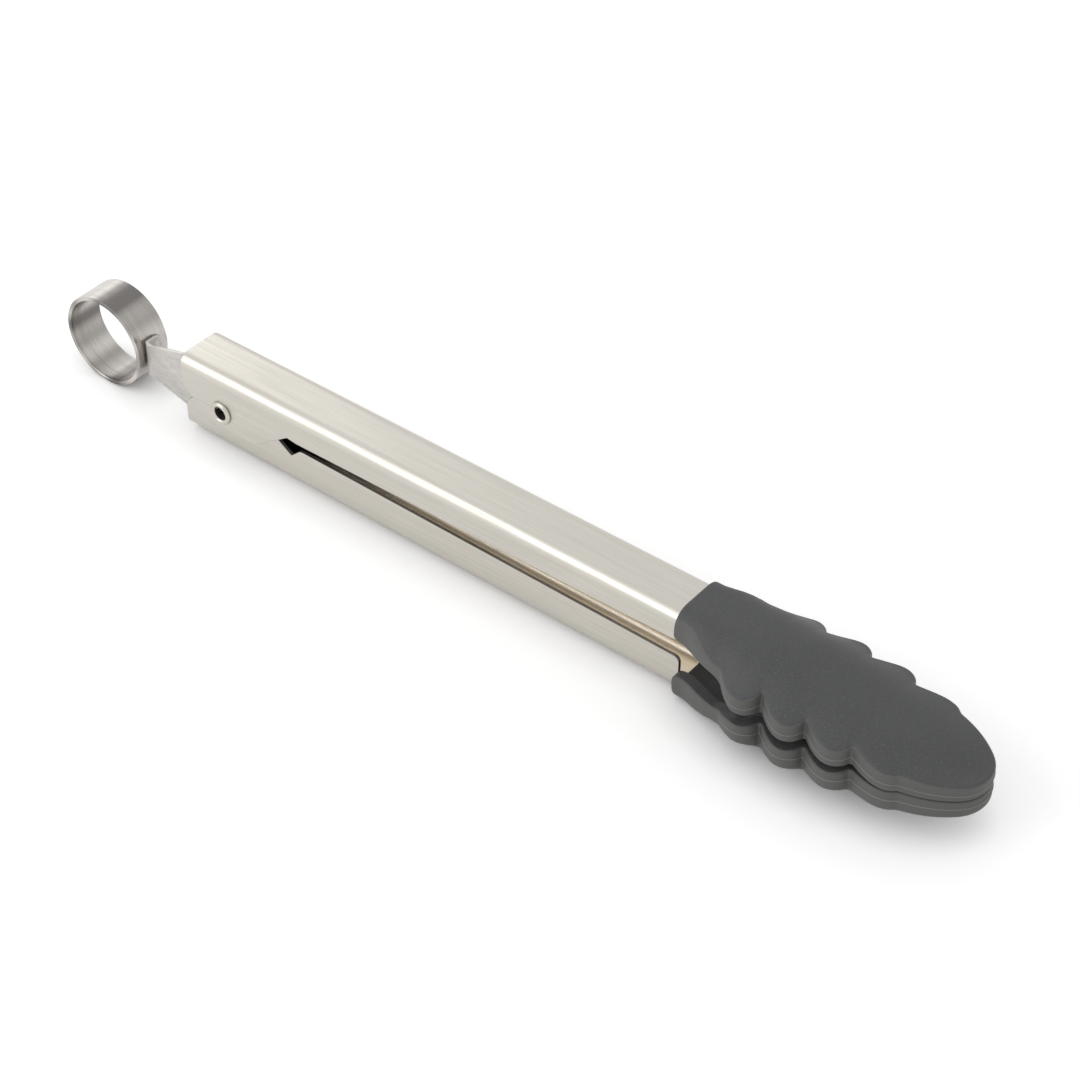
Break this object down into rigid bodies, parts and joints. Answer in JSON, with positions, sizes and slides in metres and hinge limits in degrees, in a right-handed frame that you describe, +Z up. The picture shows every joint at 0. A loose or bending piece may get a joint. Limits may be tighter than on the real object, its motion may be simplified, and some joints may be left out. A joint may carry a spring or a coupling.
{
  "type": "locking kitchen tongs",
  "caption": "Spring loaded kitchen tongs with brushed steel channel arms on a hollow rivet, scalloped dark silicone heads and a pull-ring strip that locks them shut.",
  "frame": {"origin": "on the table under the middle of the tongs as they lie closed with the ring drawn out", "axes": "+X along the arms towards the tips, +Y along the pivot, +Z up"},
  "size_m": [0.2738, 0.0336, 0.0272],
  "materials": {
    "arm_steel": "stainless sheet, brushed along the arm",
    "strip_steel": "stainless strip, lightly brushed",
    "ring_steel": "satin stainless band",
    "rivet_steel": "smooth turned stainless",
    "spring_steel": "drawn spring wire",
    "bush_nylon": "natural nylon",
    "core_nylon": "black nylon",
    "head_silicone": "matte dark grey silicone, finely textured"
  },
  "bodies": {
    "lower_arm": {"lower_arm": "arm_steel", "lower_head_core": "core_nylon", "lower_head_skin": "head_silicone"},
    "upper_arm": {"upper_arm": "arm_steel", "upper_head_core": "core_nylon", "upper_head_skin": "head_silicone"},
    "pivot": {"pivot_rivet": "rivet_steel", "short_bush": "bush_nylon", "spring_bush": "bush_nylon", "torsion_spring": "spring_steel"},
    "lock": {"lock_strip": "strip_steel", "pull_ring": "ring_steel"}
  },
  "joints": [
    {"name": "arm_pivot", "type": "hinge", "parent": "lower_arm", "child": "upper_arm", "pos_m": [-0.08115, 0, 0.0126], "axis": [0, -1, 0], "range_deg": [0, 25], "deforming": ["torsion_spring"]},
    {"name": "pivot_float", "type": "hinge", "parent": "lower_arm", "child": "pivot", "pos_m": [-0.08115, 0, 0.0126], "axis": [0, -1, 0], "range_deg": [0, 12.5]},
    {"name": "lock_slide", "type": "slide", "parent": "pivot", "child": "lock", "axis": [1, 0, 0.0052], "range_m": [0, 0.013]}
  ],
  "couplings": [
    {"joint": "pivot_float", "follows": "arm_pivot", "ratio": 0.5},
    {"joint": "lock_slide", "follows": "arm_pivot", "m_per_rad": 0.0297}
  ]
}
